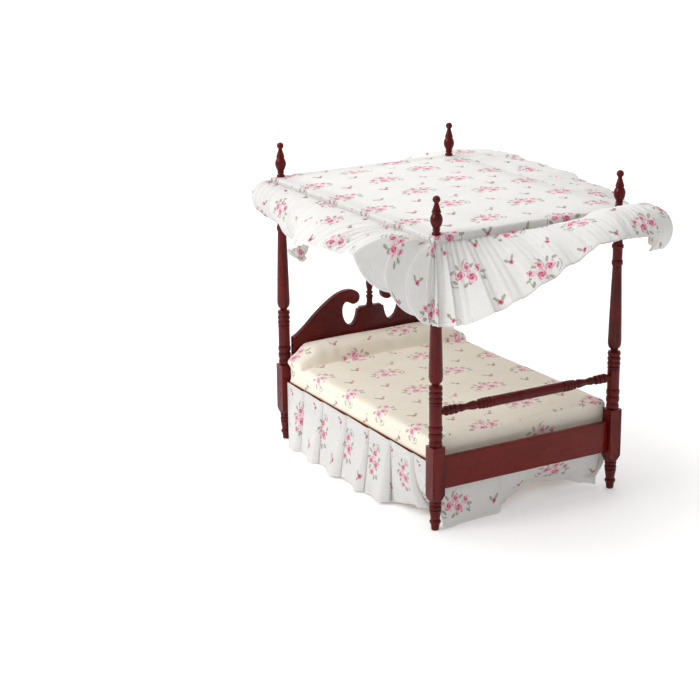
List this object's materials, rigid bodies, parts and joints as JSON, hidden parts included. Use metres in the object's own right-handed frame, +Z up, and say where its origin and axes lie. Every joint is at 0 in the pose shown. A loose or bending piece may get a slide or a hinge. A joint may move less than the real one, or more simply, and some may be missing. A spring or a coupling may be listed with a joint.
{
  "type": "dolls house four poster bed",
  "caption": "Miniature four poster bed with turned posts, scrolled headboard, foot spindle, lift-out bedding and a lift-off canopy with gathered valance.",
  "frame": {"origin": "centre of the bed on the floor, midway between the four post axes", "axes": "+Z up, +Y towards the headboard, +X to the right as seen from the foot"},
  "size_m": [0.2129, 0.2696, 0.1905],
  "materials": {
    "mahogany": "gloss red-brown lacquer",
    "bare_wood": "unfinished",
    "wadding": "soft filling",
    "bedspread_cloth": "cream printed cotton",
    "canopy_cloth": "thin white printed cotton"
  },
  "bodies": {
    "bedstead": {"post_front_left": "mahogany", "post_front_right": "mahogany", "post_back_left": "mahogany", "post_back_right": "mahogany", "footboard": "mahogany", "headboard_panel": "mahogany", "headboard_finial": "mahogany", "foot_spindle": "mahogany", "side_rail_left": "mahogany", "side_rail_right": "mahogany", "slat_ledger_left": "bare_wood", "slat_ledger_right": "bare_wood", "slat_1": "bare_wood", "slat_2": "bare_wood", "slat_3": "bare_wood", "slat_4": "bare_wood", "slat_5": "bare_wood", "footboard_dowel_left_1": "bare_wood", "footboard_dowel_left_2": "bare_wood", "footboard_dowel_right_1": "bare_wood", "footboard_dowel_right_2": "bare_wood", "headboard_dowel_left_1": "bare_wood", "headboard_dowel_left_2": "bare_wood", "headboard_dowel_right_1": "bare_wood", "headboard_dowel_right_2": "bare_wood", "rail_dowel_front_left_1": "bare_wood", "rail_dowel_front_left_2": "bare_wood", "rail_dowel_front_right_1": "bare_wood", "rail_dowel_front_right_2": "bare_wood", "rail_dowel_back_left_1": "bare_wood", "rail_dowel_back_left_2": "bare_wood", "rail_dowel_back_right_1": "bare_wood", "rail_dowel_back_right_2": "bare_wood"},
    "canopy": {"canopy_batten_front": "bare_wood", "canopy_batten_back": "bare_wood", "canopy_batten_left": "bare_wood", "canopy_batten_right": "bare_wood", "canopy_top_cloth": "canopy_cloth", "valance_front": "canopy_cloth", "valance_right": "canopy_cloth", "valance_back": "canopy_cloth", "valance_left": "canopy_cloth"},
    "finial_front_left": {"finial_front_left": "mahogany"},
    "finial_front_right": {"finial_front_right": "mahogany"},
    "finial_back_left": {"finial_back_left": "mahogany"},
    "finial_back_right": {"finial_back_right": "mahogany"},
    "bedding": {"mattress_board": "bare_wood", "mattress_core": "wadding", "bolster": "wadding", "bedspread": "bedspread_cloth", "skirt_left": "canopy_cloth", "skirt_right": "canopy_cloth", "skirt_front": "canopy_cloth"}
  },
  "joints": [
    {"name": "canopy_lift", "type": "slide", "parent": "bedstead", "child": "canopy", "axis": [0, 0, 1], "range_m": [0, 0.03]},
    {"name": "finial_front_left_lift", "type": "slide", "parent": "canopy", "child": "finial_front_left", "axis": [0, 0, 1], "range_m": [0, 0.014]},
    {"name": "finial_front_right_lift", "type": "slide", "parent": "canopy", "child": "finial_front_right", "axis": [0, 0, 1], "range_m": [0, 0.014]},
    {"name": "finial_back_left_lift", "type": "slide", "parent": "canopy", "child": "finial_back_left", "axis": [0, 0, 1], "range_m": [0, 0.014]},
    {"name": "finial_back_right_lift", "type": "slide", "parent": "canopy", "child": "finial_back_right", "axis": [0, 0, 1], "range_m": [0, 0.014]},
    {"name": "bedding_lift", "type": "slide", "parent": "bedstead", "child": "bedding", "axis": [0, 0, 1], "range_m": [0, 0.04]}
  ]
}
